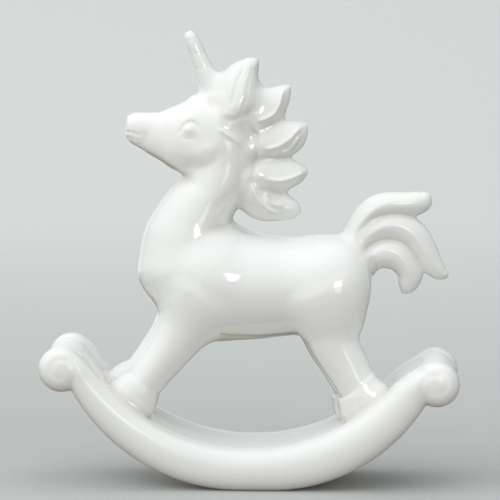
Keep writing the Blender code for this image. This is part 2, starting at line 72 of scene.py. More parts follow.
def gridLine(axis, start, stop):
    return (gridLow[axis] + voxel * np.arange(start, stop)).astype(np.float32)


def blockOf(low, high):
    return tuple(slice(int(a), int(b)) for a, b in zip(low, high))


def smoothStep(value):
    value = np.clip(value, 0, 1)
    return value * value * (3 - 2 * value)


def smoothRows(rows, steps):
    # a smooth curve through the rows
    rows = np.array(rows, float)
    padded = np.vstack([rows[:1], rows, rows[-1:]])
    made = []
    for index in range(len(rows) - 1):
        p0, p1, p2, p3 = padded[index:index + 4]
        for t in np.arange(steps) / steps:
            made.append(0.5 * (2 * p1 + (p2 - p0) * t + (2 * p0 - 5 * p1 + 4 * p2 - p3) * t ** 2
                               + (3 * p1 - p0 - 3 * p2 + p3) * t ** 3))
    made.append(rows[-1])
    return np.array(made)


def signedPower(value, exponent):
    return np.sign(value) * np.abs(value) ** exponent


def ringsAlong(rows, steps, start=0.0, stop=1.0):
    # rings of a loft between two shares of its length, and the way that they run
    rings = smoothRows(rows, steps)
    rings = rings[int(start * len(rings)):int(stop * len(rings))]
    run = np.gradient(rings[:, :2], axis=0)
    return rings, run / np.linalg.norm(run, axis=1)[:, None]


def lineOnRings(rings, run, angle):
    # a line over a loft, at that angle round it
    rise = rings[:, 2] * np.cos(angle)
    return np.stack([rings[:, 0] - run[:, 1] * rise, rings[:, 3] * np.sin(angle),
                     rings[:, 1] + run[:, 0] * rise], axis=1)


def loftSkin(rows, side=0.0, steps=8, sides=72, square=2.0):
    # rows are (x, z, half depth, half width); the first and last are the poles
    rings, run = ringsAlong(rows, steps)
    rings[:, 2:] = np.maximum(rings[:, 2:], 0.02)
    turn = np.linspace(0, 2 * np.pi, sides, endpoint=False)
    rise = signedPower(np.cos(turn), 2 / square)
    reach = signedPower(np.sin(turn), 2 / square)
    depth = rings[:, 2:3] * rise
    x = rings[:, 0:1] - run[:, 1:2] * depth
    z = rings[:, 1:2] + run[:, 0:1] * depth
    y = side + rings[:, 3:4] * reach
    points = np.stack([x, y, z], axis=2).reshape(-1, 3)
    ring = np.arange(len(rings) - 1)[:, None] * sides
    corner = np.arange(sides)[None, :]
    after = (corner + 1) % sides
    quads = np.stack([ring + corner, ring + sides + corner, ring + sides + after, ring + after],
                     axis=2).reshape(-1, 4)
    caps = []
    for first in (0, (len(rings) - 1) * sides):
        centre = len(points)
        points = np.vstack([points, points[first:first + sides].mean(axis=0)])
        for k in range(sides):
            pair = (first + k, first + (k + 1) % sides)
            caps.append((centre,) + (pair if first == 0 else pair[::-1]))
    return points, np.array(caps), quads


def meshSkin(mesh):
    # uses the mesh up
    mesh.calc_loop_triangles()
    points = np.array([v.co for v in mesh.vertices])
    triangles = np.array([t.vertices for t in mesh.loop_triangles])
    bpy.data.meshes.remove(mesh)
    return points, triangles, np.zeros((0, 4), int)


def distanceField(skin):
    # (block of the grid, distances in mm) of a closed mesh
    points, triangles, quads = skin
    local = ((points - gridLow) / voxel).astype(np.float32)
    grid = openvdb.FloatGrid.createLevelSetFromPolygons(
        local, triangles=triangles.astype(np.uint32), quads=quads.astype(np.uint32),
        halfWidth=band / voxel)
    reach = band / voxel + 1
    low = np.maximum(np.floor(local.min(axis=0) - reach), 0).astype(int)
    high = np.minimum(np.ceil(local.max(axis=0) + reach), gridCount).astype(int)
    field = np.empty(tuple(high - low), np.float32)
    grid.copyToArray(field, ijk=tuple(int(v) for v in low))
    return blockOf(low, high), field * voxel


def melt(total, block, field, radius):
    # smooth union: a fillet of about this radius where the two meet, none far from both
    part = total[block]
    near = np.maximum(radius - np.abs(part - field), 0) / radius
    near *= np.clip((band - np.maximum(part, field)) / 2, 0, 1)
    total[block] = np.minimum(part, field) - near * near * radius * 0.25


def emptyGrid():
    return np.full(gridCount, band, np.float32)


fields = {}


def addPiece(name, skin):
    fields[name] = distanceField(skin)


print("stage 2: body, head and horn")

trunk = [(-52.0, 105.2, 0, 0), (-50.2, 104.5, 6.5, 8.5), (-46.5, 103.5, 11, 12.5),
         (-41.5, 102, 13.8, 16), (-35, 99.8, 17.6, 19.4), (-26, 97.2, 22.4, 22),
         (-14, 95.6, 25.4, 23), (0, 95.6, 25.9, 23), (14, 95.6, 24.2, 22.2),
         (26, 96.5, 23.6, 21.8), (38, 98.0, 23.4, 21.8), (46, 100, 21.2, 19.8),
         (51.2, 100.4, 17.4, 16.6), (54.9, 99.8, 12, 11.9), (57.1, 99.4, 6.2, 6.6),
         (58.0, 99.4, 0, 0)]
neck = [(-22, 86, 0, 0), (-25, 93, 15.5, 14), (-28.8, 104, 23.4, 19.2), (-30.6, 112, 22.9, 19.0),
        (-29.8, 120.5, 21.6, 17.9), (-27.6, 128, 18.6, 16.5), (-23.6, 134.8, 16.9, 15.3),
        (-19.2, 141, 14.6, 14.3), (-16, 147.5, 14.9, 13.7), (-13.8, 154.5, 14.8, 13.1),
        (-12.6, 164.5, 14.4, 12.4), (-13.2, 175, 12.4, 11.2), (-14, 182.3, 8, 8),
        (-14.3, 186.5, 0, 0)]
head = [(-60.6, 172.4, 0, 0), (-60.0, 172.3, 4.6, 4.2), (-58.4, 172.3, 6.8, 6.1),
        (-55.2, 172.0, 7.9, 6.6), (-50, 170.8, 9.3, 6.9), (-45, 169.5, 11.2, 7.9),
        (-40, 168.8, 13.8, 9.4), (-35, 168.2, 16.4, 11.0), (-30, 168.1, 18.0, 12.2),
        (-25, 168.8, 19.3, 12.8), (-20, 170.3, 19.0, 12.8), (-15, 172.2, 16.3, 11.8),
        (-10.5, 174.5, 11.5, 9.2), (-7.5, 175.5, 5.6, 5.4), (-6.4, 175.8, 0, 0)]
horn = [(-16.8, 185.5, 0, 0), (-17.6, 187.7, 6.2, 5.8), (-18.4, 190.8, 6.2, 5.6),
        (-21.7, 198.6, 4.9, 4.7), (-24.8, 206.0, 4.1, 4.0), (-28.2, 214.3, 3.7, 3.6),
        (-29.6, 217.2, 3.0, 3.0), (-30.2, 218.7, 1.9, 1.9), (-30.4, 219.1, 0, 0)]

addPiece("trunk", loftSkin(trunk))
addPiece("neck", loftSkin(neck))
addPiece("head", loftSkin(head, square=2.4))
addPiece("horn", loftSkin(horn, sides=36))

print("stage 3: legs and hooves")

legs = {
    "spacing": 22.2, "width": 17.6,
    "front": {"hip": (-24.0, 88.5), "depth": 17.8, "bow": 0.02, "hoofX": -59.9, "farStep": -2.7,
              "hoofLength": 25.6, "hoofHeight": 13.4, "toe": 0.0},
    "hind": {"hip": (36.0, 92.1), "depth": 19.4, "bow": -0.065, "hoofX": 60.0, "farStep": -3.4,
             "hoofLength": 28.8, "hoofHeight": 12.2, "toe": 1.6},
    "hoofWidth": 20.6,
}
rocker = {
    "frontRadius": 92.2, "rearRadius": 87.5, "foot": 14.2, "wipe": 0.3,
    "depth": 19.6, "topRadius": 94.1, "thickness": 14.0, "spacing": 48.0,
    "frontTurn": 68.4, "rearTurn": 66.2,
    "scrollRadius": 11.0, "scrollWidth": 15.6, "recess": 1.6, "deckThickness": 8.5,
    "deckReach": 18.4,
}
turnAt = {-1: math.radians(rocker["frontTurn"]), 1: math.radians(rocker["rearTurn"])}
radiusAt = {-1: rocker["frontRadius"], 1: rocker["rearRadius"]}
footMiddle = 0.5 * (radiusAt[-1] * math.sin(turnAt[-1]) - radiusAt[1] * math.sin(turnAt[1]))
topCentre = rocker["depth"] - rocker["wipe"] + rocker["topRadius"]


def undersidePoint(end, angle):
    radius = radiusAt[end]
    point = np.array([footMiddle + end * (0.5 * rocker["foot"] + radius * math.sin(angle)),
                      radius * (1 - math.cos(angle)) - rocker["wipe"]])
    return point, np.array([-end * math.sin(angle), math.cos(angle)])


def inward(point):
    run = np.array([-point[0], topCentre - point[1]])
    return run / np.linalg.norm(run)


def deckSeat(x):
    radius = rocker["topRadius"] + rocker["recess"]
    point = np.array([x, topCentre - math.sqrt(radius ** 2 - x ** 2)])
    return point, inward(point)


def runnerDepth(point, normal):
    x, z = point[0], point[1] - topCentre
    along = x * normal[0] + z * normal[1]
    return -along - math.sqrt(along ** 2 - x ** 2 - z ** 2 + rocker["topRadius"] ** 2)


def legRows(leg, far):
    step = leg["farStep"] if far else 0.0
    seat, normal = deckSeat(leg["hoofX"] + step)
    rim = seat + leg["hoofHeight"] * normal
    hip = np.array([leg["hip"][0] + step, leg["hip"][1]])
    across = np.array([hip[1] - rim[1], rim[0] - hip[0]])
    # way down the leg, bow, depth and width as shares
    shares = [(-0.16, 0, 0, 0), (-0.08, 0, 0.70, 0.50), (0, 0, 0.89, 0.60),
              (0.25, 0.45, 0.77, 0.58), (0.50, 1.0, 0.62, 0.53), (0.77, 0.45, 0.54, 0.505),
              (1.0, 0, 0.50, 0.50), (1.10, 0, 0.48, 0.48), (1.16, 0, 0, 0)]
    return [(*(hip + (rim - hip) * s + across * leg["bow"] * bow), leg["depth"] * a,
             legs["width"] * b) for s, bow, a, b in shares]


def hoofRows(leg, far):
    seat, normal = deckSeat(leg["hoofX"] + (leg["farStep"] if far else 0.0))
    toeWay = np.array([-normal[1], normal[0]]) * leg["toe"]
    # way up the hoof, toe, length and width as shares
    shares = [(-0.22, 1, 0, 0), (-0.20, 1, 0.49, 0.49), (0.30, 1, 0.49, 0.49),
              (0.62, 0.6, 0.455, 0.475), (0.84, 0.2, 0.41, 0.45), (0.95, 0, 0.375, 0.43),
              (1.0, 0, 0.33, 0.38), (1.02, 0, 0, 0)]
    return [(*(seat + normal * leg["hoofHeight"] * s + toeWay * forward), leg["hoofLength"] * a,
             legs["hoofWidth"] * b) for s, forward, a, b in shares]


sideOf = {"left": -0.5, "right": 0.5}
for place in ("front", "hind"):
    for word, half in sideOf.items():
        side = half * legs["spacing"]
        addPiece(f"{place}_leg_{word}", loftSkin(legRows(legs[place], half > 0), side))
        addPiece(f"{place}_hoof_{word}",
                 loftSkin(hoofRows(legs[place], half > 0), side, square=2.3))

print("stage 4: rocker")


def scrollCentre(end):
    return undersidePoint(end, turnAt[end])[0]


def creaseTurn(end):
    # where the underside runs into the scroll
    return turnAt[end] - 2 * math.asin(0.5 * rocker["scrollRadius"] / radiusAt[end])


def rockerStations(count):
    stations = []
    for end in (-1, 1):
        angles = np.linspace(0, creaseTurn(end), count + 1)
        for angle in (angles[::-1] if end < 0 else angles):
            point, normal = undersidePoint(end, angle)
            stations.append((point, normal, runnerDepth(point, normal)))
    return stations


def runnerRows():
    half = 0.5 * rocker["thickness"]
    rows = [(*(point + 0.5 * depth * normal), 0.5 * depth, half)
            for point, normal, depth in rockerStations(14)]
    for end in (-1, 1):
        centre = scrollCentre(end)
        way = inward(centre)
        reach = 0.5 * rocker["scrollRadius"]
        ring = centre + reach * way
        tip = ring + 0.5 * reach * end * np.array([way[1], -way[0]])
        ends = [(*ring, reach, half), (*tip, 0, 0)]
        rows = ends[::-1] + rows if end < 0 else rows + ends
    return rows


def scrollSkin(end, side):
    # a wheel with rounded edges and a low boss, turned about a line across the rocker
    half = 0.5 * rocker["scrollWidth"]
    rim = rocker["scrollRadius"]
    profile = smoothRows([(0, half), (2.4, half - 0.1), (4.6, half - 0.4), (6.6, half - 1.0),
                          (0.78 * rim, half - 2.2), (0.92 * rim, 0.46 * half),
                          (0.98 * rim, 0.22 * half), (rim, 0)], 5)
    profile = np.vstack([profile, profile[-2::-1] * (1, -1)])
    centre = scrollCentre(end)
    bm = bmesh.new()
    chain = [bm.verts.new((centre[0] + r, side + h, centre[1])) for r, h in profile]
    edges = [bm.edges.new(pair) for pair in zip(chain, chain[1:])]
    bmesh.ops.spin(bm, geom=chain + edges, cent=(centre[0], side, centre[1]), axis=(0, 1, 0),
                   angle=math.tau, steps=64, use_merge=True)
    bmesh.ops.remove_doubles(bm, verts=bm.verts, dist=0.001)
    bmesh.ops.recalc_face_normals(bm, faces=bm.faces)
    mesh = bpy.data.meshes.new("scroll")
    bm.to_mesh(mesh)
    bm.free()
    return meshSkin(mesh)


def deckSkin():
    stations = rockerStations(20)
    high, low = rocker["recess"], rocker["recess"] + rocker["deckThickness"]
    upper = [point + normal * (depth - high) for point, normal, depth in stations]
    lower = [point + normal * (depth - low) for point, normal, depth in stations]
    roll = rocker["scrollRadius"] - rocker["recess"]
    outline = list(upper)
    for end, edge in ((1, lower[-1]), (-1, lower[0])):
        centre = scrollCentre(end)
        way = inward(centre)
        top = math.atan2(way[1], way[0])
        bottom = math.atan2(edge[1] - centre[1], edge[0] - centre[0])
        start, stop = (top, bottom) if end > 0 else (bottom, top)
        start += math.tau if start < stop else 0.0
        outline += [centre + roll * np.array([math.cos(a), math.sin(a)])
                    for a in np.linspace(start, stop, 40)]
        if end > 0:
            outline += lower[::-1]
    bm = bmesh.new()
    face = bm.faces.new([bm.verts.new((x, -rocker["deckReach"], z)) for x, z in outline])
    moved = bmesh.ops.extrude_face_region(bm, geom=[face])["geom"]
    bmesh.ops.translate(bm, vec=(0, 2 * rocker["deckReach"], 0),
                        verts=[v for v in moved if isinstance(v, bmesh.types.BMVert)])
    bmesh.ops.recalc_face_normals(bm, faces=bm.faces)
    bmesh.ops.triangulate(bm, faces=bm.faces)
    mesh = bpy.data.meshes.new("deck")
    bm.to_mesh(mesh)
    bm.free()
    return meshSkin(mesh)


for word, half in sideOf.items():
    side = half * rocker["spacing"]
    addPiece(f"runner_{word}", loftSkin(runnerRows(), side, steps=4, square=2.2))
    for place, end in (("front", -1), ("rear", 1)):
        addPiece(f"scroll_{place}_{word}", scrollSkin(end, side))
addPiece("deck", deckSkin())

print("stage 5: hair")

forelock = [(-10.6, 175.2, 0, 0), (-10.0, 177.8, 6.0, 10.8), (-8.0, 181.6, 9.6, 12.6),
            (-6.3, 187.0, 11.3, 12.4), (-5.1, 193.3, 10.4, 10.8), (-3, 198.3, 8.5, 8.4),
            (-0.6, 201.8, 5.5, 5.8), (1.8, 204.3, 3.1, 3.6), (3.8, 206.1, 0, 0)]
mane = {
    "mane_lock_1": [(-4, 170.5, 0, 0), (-2.4, 172, 5.4, 7.0), (3, 177, 9.2, 7.4),
                    (9.8, 184, 8.4, 6.1), (14, 188, 5.8, 4.3), (17.3, 191.4, 2.7, 2.4),
                    (19.4, 193.3, 0, 0)],
    "mane_lock_2": [(-6, 160.5, 0, 0), (-4, 161.3, 5.6, 7.4), (4, 164.4, 9.8, 7.8),
                    (12, 167.0, 10.2, 6.6), (18.8, 168.8, 8.7, 5.2), (23.6, 171.8, 5.4, 3.4),
                    (27.2, 175.2, 0, 0)],
    "mane_lock_3": [(-7, 149, 0, 0), (-5, 149.2, 5.8, 7.6), (3, 149.9, 9.4, 7.9),
                    (12, 150, 9.4, 6.6), (19.5, 150.8, 7.0, 5.0), (24.8, 151.5, 3.9, 2.9),
                    (28.1, 152.3, 0, 0)],
    "mane_lock_4": [(-7, 149, 0, 0), (-5.6, 147, 5.4, 7.4), (-0.8, 141.4, 8.6, 7.6),
                    (5.4, 137, 9.2, 6.8), (12.3, 135.0, 7.8, 5.4), (18.5, 133.6, 5.6, 4.1),
                    (22.3, 132.7, 3.5, 2.7), (24.7, 132.0, 0, 0)],
}
tail = {
    "tail_lock_upper": [(43.5, 110, 0, 0), (45.5, 113.2, 4.0, 4.6), (50.8, 120.8, 6.0, 6.6),
                        (55.1, 128.2, 6.5, 6.9), (60.2, 133.6, 6.4, 6.9), (66.2, 135.5, 6.2, 6.6),
                        (73, 135.7, 6.0, 6.1), (79.1, 136.2, 5.8, 5.0), (83.0, 137.9, 5.2, 3.8),
                        (85.0, 140.0, 3.1, 2.5), (86.2, 141.5, 0, 0)],
    "tail_lock_middle": [(42, 100, 0, 0), (44, 103, 4.6, 4.8), (50.7, 114.1, 6.3, 6.6),
                         (57.6, 121.9, 6.6, 6.8), (65, 125.2, 7.0, 6.6), (72.0, 124.6, 7.4, 6.3),
                         (78.6, 120.7, 7.3, 5.8), (83.4, 114.0, 6.5, 5.1),
                         (87.3, 107.4, 5.4, 4.3), (91.0, 103.3, 4.1, 3.4), (94.6, 101.4, 1.9, 1.7),
                         (95.6, 101.0, 0, 0)],
    "tail_lock_lower": [(43, 98, 0, 0), (46, 101, 5.2, 5.0), (53.9, 107.4, 6.9, 6.4),
                        (61.5, 111.6, 7.8, 6.6), (68.4, 111.7, 8.3, 6.3), (73.8, 107.8, 7.3, 5.7),
                        (76.6, 102.4, 6.7, 5.0), (76.1, 98.0, 5.4, 4.1), (74.8, 94.9, 3.7, 3.0),
                        (72.8, 92.2, 0, 0)],
}
addPiece("forelock", loftSkin(forelock))
for name, rows in {**mane, **tail}.items():
    addPiece(name, loftSkin(rows, square=1.8))

print("stage 6: melting the pieces together")

fillets = {"seam": 1.0, "neck": 8.8, "head": 6.0, "horn": 5.5, "legPair": 1.5, "legs": 8.5,
           "hooves": 1.6, "deck": 8.0, "scrolls": 1.3, "rocker": 2.6, "locks": 3.6, "hair": 3.0,
           "forelock": 6.0, "tailLocks": 2.6, "tail": 4.5, "shoulder": 4.0, "haunch": 8.5,
           "eye": 1.2}


def named(word):
    return sorted(name for name in fields if word in name)


def meltGroup(names, fillet):
    group = emptyGrid()
    for name in names:
        melt(group, *fields[name], fillets[fillet])
    return group


def meltIn(total, other, fillet):
    # other is a piece's name or a whole grid
    block, field = fields[other] if isinstance(other, str) else (slice(None), other)
    melt(total, block, field, fillets[fillet])


def meltBall(total, centre, radii, soft, half=False):
    # radii along x, y and z
    centre, radii = np.array(centre), np.array(radii, float)
    low = np.maximum(((centre - radii - band - gridLow) / voxel).astype(int), 0)
    high = np.minimum(((centre + radii + band - gridLow) / voxel).astype(int) + 1, gridCount)
    x, y, z = (gridLine(axis, low[axis], high[axis]) - centre[axis] for axis in range(3))
    x, y, z = x[:, None, None], y[None, :, None], z[None, None, :]
    share = np.sqrt((x / radii[0]) ** 2 + (y / radii[1]) ** 2 + (z / radii[2]) ** 2)
    steep = np.sqrt((x / radii[0] ** 2) ** 2 + (y / radii[1] ** 2) ** 2 + (z / radii[2] ** 2) ** 2)
    ball = share * (share - 1) / np.maximum(steep, 1e-6)
    if half:        # only the half on the outer side of the body
        ball = np.maximum(ball, (y + centre[1]) * math.copysign(1, centre[1]))
    ball = np.clip(ball, -band, band).astype(np.float32)
    melt(total, blockOf(low, high), ball, soft)


muscles = {"shoulder": (-18.5, 98.5), "shoulderRadii": (29.0, 29.0, 29.0), "shoulderReach": 24.0,
           "haunch": (38.5, 95.0), "haunchRadii": (18.0, 12.9, 20.5), "haunchReach": 22.9}
body = meltGroup(["trunk"], "seam")
meltIn(body, "neck", "neck")
for way in (-1, 1):
    for part in ("shoulder", "haunch"):
        x, z = muscles[part]
        radii = muscles[part + "Radii"]
        meltBall(body, (x, way * (muscles[part + "Reach"] - radii[1]), z), radii,
                 fillets[part], muscles[part + "Reach"] < radii[1])
meltIn(body, "head", "head")
for place in ("front", "hind"):
    meltIn(body, meltGroup(named(f"{place}_leg_"), "legPair"), "legs")
meltIn(body, meltGroup(named("_hoof_"), "legPair"), "hooves")
meltIn(body, "horn", "horn")
meltIn(body, meltGroup(mane, "locks"), "hair")
meltIn(body, "forelock", "forelock")
meltIn(body, meltGroup(tail, "tailLocks"), "tail")
rockerField = meltGroup(named("runner_"), "seam")
meltIn(rockerField, "deck", "deck")
meltIn(rockerField, meltGroup(named("scroll_"), "seam"), "scrolls")
meltIn(body, rockerField, "rocker")
skinField = body

print("stage 7: modelling tool marks, creases and eyes")


def distanceToPath(path, x, z):
    # distance in the side plane, and how far along the path the nearest point lies, from 0 to 1
    points = smoothRows(path, 8)
    best = np.full((len(x), len(z)), 1e9)
    along = np.zeros_like(best)
    gridX, gridZ = np.meshgrid(x, z, indexing="ij")
    lengths = np.linalg.norm(np.diff(points[:, :2], axis=0), axis=1)
    total = lengths.sum()
    before = 0.0
    for start, stop, length in zip(points, points[1:], lengths):
        dx, dz = (stop - start)[:2]
        t = np.clip(((gridX - start[0]) * dx + (gridZ - start[1]) * dz) / max(length ** 2, 1e-9),
                    0, 1)
        distance = np.hypot(gridX - start[0] - t * dx, gridZ - start[1] - t * dz)
        closer = distance < best
        best = np.where(closer, distance, best)
        along = np.where(closer, (before + t * length) / total, along)
        before += length
    return best, along


def press(path, depth, width, fade=0.25, offMiddle=None):
    # a soft groove along a path in the side plane, on both sides; negative depth is a ridge
    reach = 2.6 * width
    points = np.array(path)
    low = np.maximum(((points.min(axis=0) - reach - gridLow[[0, 2]]) / voxel).astype(int), 0)
    high = ((points.max(axis=0) + reach - gridLow[[0, 2]]) / voxel).astype(int) + 1
    x, z = gridLine(0, low[0], high[0]), gridLine(2, low[1], high[1])
    distance, along = distanceToPath(path, x, z)
    ends = smoothStep(np.minimum(along, 1 - along) / fade)
    mark = (depth * ends * np.exp(-(distance / width) ** 2))[:, None, :]
    if offMiddle is not None:
        y = gridLine(1, 0, gridCount[1])
        mark = mark * np.clip((np.abs(y) - offMiddle) / 2.0, 0, 1)[None, :, None]
    skinField[low[0]:low[0] + len(x), :, low[1]:low[1] + len(z)] += mark.astype(np.float32)


face = {"eye": (-28.8, 172.3), "eyeSide": 10.0, "eyeRadii": (3.2, 3.0, 2.6)}
for way in (-1, 1):
    meltBall(skinField, (face["eye"][0], way * face["eyeSide"], face["eye"][1]),
             face["eyeRadii"], fillets["eye"])

# path, depth, width, share of the path over which each end fades, distance off the middle plane
bodyMarks = {
    "upper lid": ([(-36.5, 170.6), (-33.6, 171.4), (-31.6, 174.4), (-28.6, 176.1), (-25.2, 175.0),
                   (-23.4, 171.2)], 0.32, 0.75, 0.2, 3),
    "lower lid": ([(-34.5, 169.4), (-31.0, 168.3), (-27.5, 168.2), (-24.2, 169.2)],
                  0.22, 0.9, 0.3, 3),
    "brow": ([(-34.0, 174.2), (-31.6, 176.9), (-28.4, 178.2), (-24.6, 177.2)], -0.22, 1.2, 0.3, 3),
    "mouth": ([(-61.5, 170.6), (-58.1, 170.6), (-55.2, 169.9), (-52.2, 169.0)], 0.5, 0.7, 0.2),
    "lip": ([(-61, 168.4), (-57.0, 167.8), (-53.5, 167.0)], 0.3, 0.8, 0.3),
    "muzzle": ([(-51.4, 172.6), (-50.4, 169.6), (-51.2, 166.4), (-53.4, 164.2)],
               0.35, 1.6, 0.35, 2),
    "jowl": ([(-40, 161.5), (-33, 157.0), (-26, 154.8), (-19.5, 156.0), (-14.8, 160.5),
              (-13.2, 166.5)], 0.45, 3.0, 0.3, 3),
    "cheek": ([(-32, 163.5), (-26.5, 161.2), (-21, 163.2), (-19.4, 168)], -0.5, 3.4, 0.35, 3),
    "neck": ([(-4.8, 160.2), (-5.4, 152), (-5.8, 145.8), (-12.1, 138.5), (-20.7, 131.2)],
             0.45, 2.0, 0.3, 3),
    "ridge below the ear": ([(-16.5, 173.4), (-13.0, 171.8), (-9.0, 169.2), (-5.8, 166.4),
                             (-4.6, 162.5)], -0.75, 1.1, 0.3, 5),
    "breast": ([(-33.5, 111), (-35.5, 102.6), (-36, 95.3), (-37.4, 88)], 0.5, 3.0, 0.35, 4),
}
for mark in bodyMarks.values():
    press(*mark)

locks = {
    "ridges": [      # lines that stand up, thin enough to catch the window
        [(1.9, 175.7), (8.2, 177.7), (12.1, 180.6), (14.2, 185.0), (15.4, 189.8), (17.6, 192.6)],
        [(5.3, 163.0), (11.6, 163.5), (17.9, 166.9), (22.3, 171.3), (25.6, 175.0)],
        [(13.0, 160.9), (18.0, 161.7), (21.4, 165.4), (24.0, 170.0)],
        [(6.5, 148.9), (13.6, 147.6), (20.3, 149.0), (24.7, 150.9), (27.6, 152.2)],
        [(0.6, 147.4), (2.4, 141.1), (5.5, 136.6), (9.9, 132.8), (15.5, 131.4)],
        [(7.0, 142.6), (8.2, 139.0), (10.4, 136.7), (13.4, 135.7), (16.6, 135.7)],
    ],
    "tailRidges": [
        [(51.9, 115.8), (56.2, 120.6), (62.6, 125.0), (69.2, 126.4), (74.8, 124.8), (79.4, 120.6),
         (83.4, 114.2), (87.2, 107.8), (91, 103.8)],
        [(52.6, 107.2), (57.0, 110.8), (61.0, 113.2), (65.6, 114.4), (69.4, 113.6), (73.0, 110.8),
         (75.6, 106.6), (76.6, 102.4), (76.2, 98.4)],
        [(48.2, 117), (52.0, 124.8), (56.6, 131.2), (61.6, 135.2), (67, 137.2), (73, 137.4),
         (79.4, 137.6), (84.4, 139.2)],
    ],
    "channels": [    # partings between the locks
        [(3.6, 171.4), (8.4, 173.6), (12.6, 175.6), (16.2, 177.0)],
        [(2.6, 158.0), (8.4, 158.4), (14.0, 158.2), (19.2, 157.4)],
        [(3.2, 159.4), (4.6, 154.0), (7.4, 149.4)],
        [(2.6, 143.9), (8.4, 142.6), (13.2, 140.8), (16.8, 139.0)],
    ],
    "tailChannels": [
        [(50.6, 118.6), (52.8, 124.0), (57.7, 128.6), (62.5, 130.8), (68.3, 131.8), (74.1, 131.6),
         (80.4, 129.0)],
        [(51.6, 110.6), (55.6, 114.6), (60.4, 117.6), (66.4, 119.0), (71.4, 118.2), (75.8, 115.2),
         (79.4, 110.6), (81.8, 106.0), (83.2, 102.2)],
    ],
    "tailHollow": [(59.0, 103.4), (62.4, 105.4), (66.6, 105.4), (69.9, 102.6), (71.9, 97.6)],
    "ridge": -1.1, "ridgeWidth": 0.85, "crest": -1.0, "crestWidth": 3.0,
    "crested": (0, 1, 3, 4), "tailRidge": -0.25, "tailRidgeWidth": 1.1,
    "channel": 0.3, "channelWidth": 1.2, "tailChannel": 0.6, "tailChannelWidth": 1.5,
    "hollow": 0.8, "hollowWidth": 2.4, "fade": 0.2, "wideFade": 0.3,
}
for index, line in enumerate(locks["ridges"]):
    press(line, locks["ridge"], locks["ridgeWidth"], locks["fade"])
    if index in locks["crested"]:
        press(line, locks["crest"], locks["crestWidth"], locks["wideFade"])
for kind in ("tailRidge", "channel", "tailChannel"):
    for line in locks[kind + "s"]:
        press(line, locks[kind], locks[kind + "Width"], locks["fade"])
press(locks["tailHollow"], locks["hollow"], locks["hollowWidth"], locks["wideFade"])

tuftMarks = {
    "root of the locks": ([(-1.6, 176.9), (0.6, 173.1), (3.2, 168.3), (3.4, 162.5), (2.4, 156.7),
                           (1.6, 149.0), (2.6, 143.6)], 0.75, 1.0, 0.2, 3),
    "parting": ([(-2.4, 204.0), (-5.3, 196.2), (-7.3, 188.9), (-10.2, 181.6)], 0.6, 1.5, 0.25, 3),
    "dip below": ([(-14.0, 178.6), (-8.0, 177.6), (-2.0, 179.6), (2.9, 184.9)], 0.5, 1.6, 0.3, 5),
}
for mark in tuftMarks.values():
    press(*mark)

print("stage 8: combed strands and scroll grooves")


def addNode(tree, kind, **settings):
    node = tree.nodes.new(kind)
    for name, value in settings.items():
        setattr(node, name, value)
    return node


def addSockets(tree, way, *sockets):
    for name, kind, value in sockets:
        socket = tree.interface.new_socket(name, in_out=way, socket_type=f"NodeSocket{kind}")
        if value is not None:
            socket.default_value = value


tube = {"radius": 0.6, "step": 0.6, "corners": 8, "noiseScale": 0.16, "wander": 0.1, "seed": 3}


def lineTree():
    # lines in, thin tubes along them out
    tree = bpy.data.node_groups.new("tube along lines", "GeometryNodeTree")
    addSockets(tree, "INPUT", ("Geometry", "Geometry", None),
               ("Tube Radius", "Float", tube["radius"]), ("Wander", "Float", tube["wander"]),
               ("Step", "Float", tube["step"]), ("Seed", "Int", tube["seed"]),
               ("Material", "Material", None))
    addSockets(tree, "OUTPUT", ("Geometry", "Geometry", None))
    link = tree.links.new
    given = addNode(tree, "NodeGroupInput")
    noise = addNode(tree, "ShaderNodeTexNoise", noise_dimensions="4D")
    noise.inputs["Scale"].default_value = tube["noiseScale"]
    link(given.outputs["Seed"], noise.inputs["W"])
    centred = addNode(tree, "ShaderNodeVectorMath", operation="SUBTRACT")
    centred.inputs[1].default_value = (0.5, 0.5, 0.5)
    link(noise.outputs["Color"], centred.inputs[0])
    scaled = addNode(tree, "ShaderNodeVectorMath", operation="SCALE")
    link(centred.outputs["Vector"], scaled.inputs[0])
    link(given.outputs["Wander"], scaled.inputs["Scale"])
    ring = addNode(tree, "GeometryNodeCurvePrimitiveCircle")
    ring.inputs["Resolution"].default_value = tube["corners"]
    link(given.outputs["Tube Radius"], ring.inputs["Radius"])
    spaced = addNode(tree, "GeometryNodeResampleCurve", mode="LENGTH")
    link(given.outputs["Step"], spaced.inputs["Length"])
    moved = addNode(tree, "GeometryNodeSetPosition")
    link(scaled.outputs["Vector"], moved.inputs["Offset"])
    hull = addNode(tree, "GeometryNodeCurveToMesh")
    hull.inputs["Fill Caps"].default_value = True
    link(ring.outputs["Curve"], hull.inputs["Profile Curve"])
    painted = addNode(tree, "GeometryNodeSetMaterial")
    link(given.outputs["Material"], painted.inputs["Material"])
    chain = (given, addNode(tree, "GeometryNodeMeshToCurve"), spaced, moved, hull,
             addNode(tree, "GeometryNodeRealizeInstances"), painted,
             addNode(tree, "NodeGroupOutput"))
    for giver, taker in zip(chain, chain[1:]):
        link(giver.outputs[0], taker.inputs[0])
    return tree


tubeTree = lineTree()


